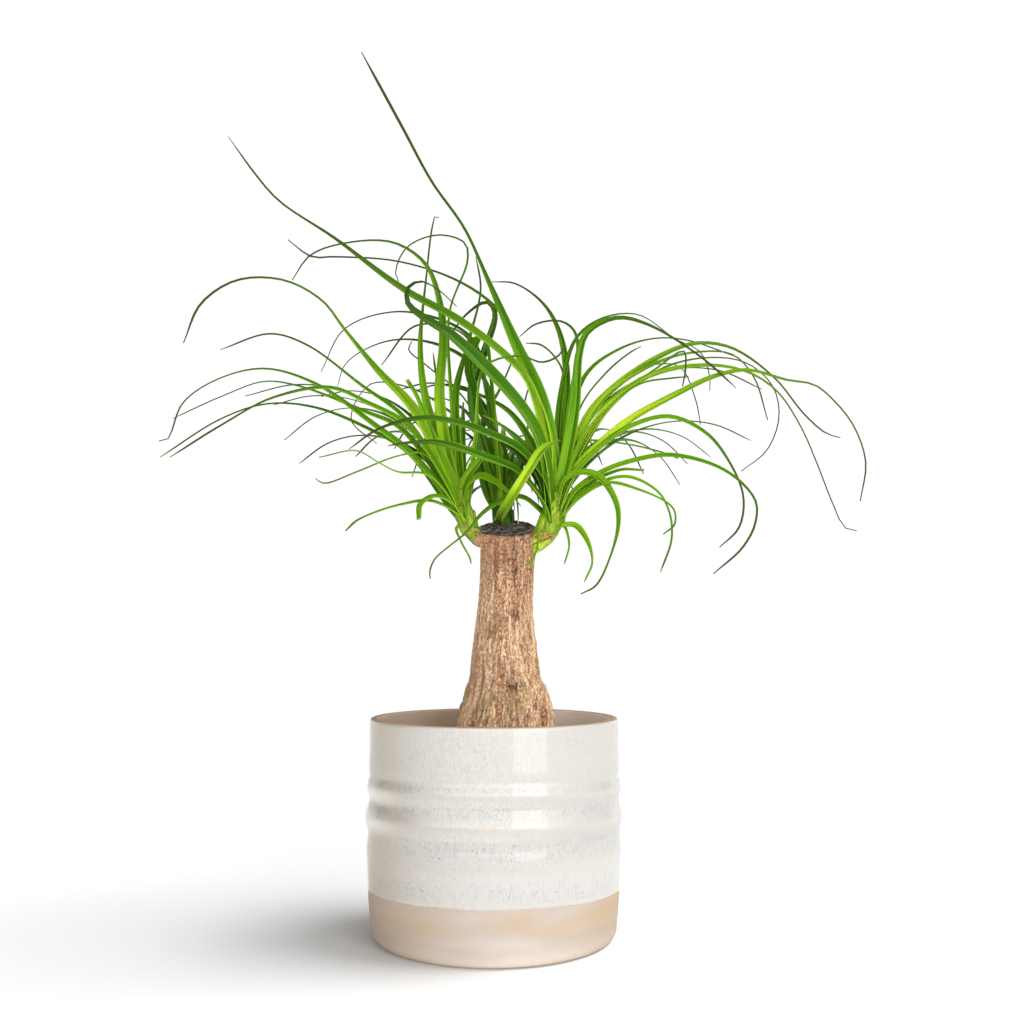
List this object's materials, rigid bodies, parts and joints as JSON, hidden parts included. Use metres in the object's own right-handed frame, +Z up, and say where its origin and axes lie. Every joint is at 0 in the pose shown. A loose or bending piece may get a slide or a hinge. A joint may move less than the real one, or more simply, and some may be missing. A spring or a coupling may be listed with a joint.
{
  "type": "potted ponytail palm",
  "caption": "Ponytail palm with a cut-topped flared trunk and three sprays of arching strap leaves, in a speckled cream glazed stoneware pot.",
  "frame": {"origin": "middle of the pot's flat underside", "axes": "+Z up along the pot's axis; +X to the right and -Y towards the viewer, as seen in the picture"},
  "size_m": [0.4456, 0.2946, 0.5264],
  "materials": {
    "pot_glaze": "cream speckled gloss glaze over raw tan stoneware",
    "nursery_plastic": "matt black thin plastic",
    "potting_soil": "dark crumbly potting soil",
    "bark": "rough fissured tan bark, charcoal grey at the cut top",
    "leaf": "satin green strap leaves, yellow-green at the base"
  },
  "bodies": {
    "root": {"pot": "pot_glaze", "nursery_pot": "nursery_plastic", "soil": "potting_soil", "trunk": "bark", "shoot_right": "leaf", "shoot_left": "leaf", "shoot_back": "leaf"}
  },
  "joints": []
}
